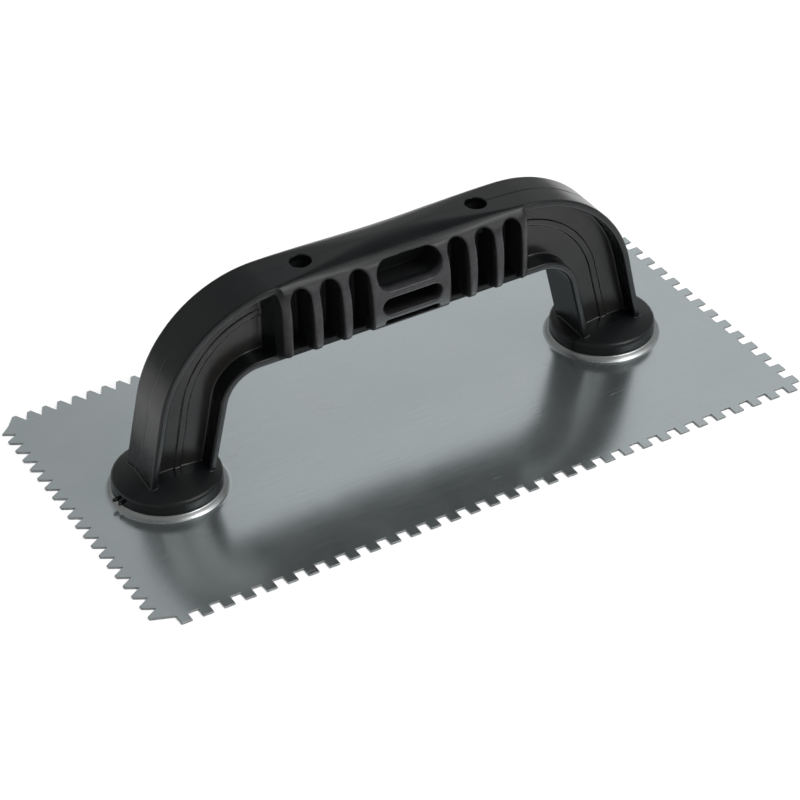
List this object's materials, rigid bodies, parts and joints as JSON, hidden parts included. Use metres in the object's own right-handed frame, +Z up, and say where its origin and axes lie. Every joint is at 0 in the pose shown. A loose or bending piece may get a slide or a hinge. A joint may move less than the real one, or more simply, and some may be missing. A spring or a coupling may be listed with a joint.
{
  "type": "notched trowel",
  "caption": "Rectangular sheet-steel adhesive trowel with square and V notched edges and a moulded open bridge handle with finger slots.",
  "frame": {"origin": "centre of the blade outline, in the plane of the blade underside that rests on the bench", "axes": "+X along the blade towards the square-notched short edge, +Y towards the V-notched long edge, +Z up towards the handle"},
  "size_m": [0.2704, 0.138, 0.0782],
  "materials": {
    "blade_steel": "galvanised sheet, satin",
    "handle_plastic": "satin black moulded plastic",
    "screw_steel": "zinc plated"
  },
  "bodies": {
    "root": {"blade": "blade_steel", "handle": "handle_plastic", "screw_left": "screw_steel", "screw_right": "screw_steel"}
  },
  "joints": []
}
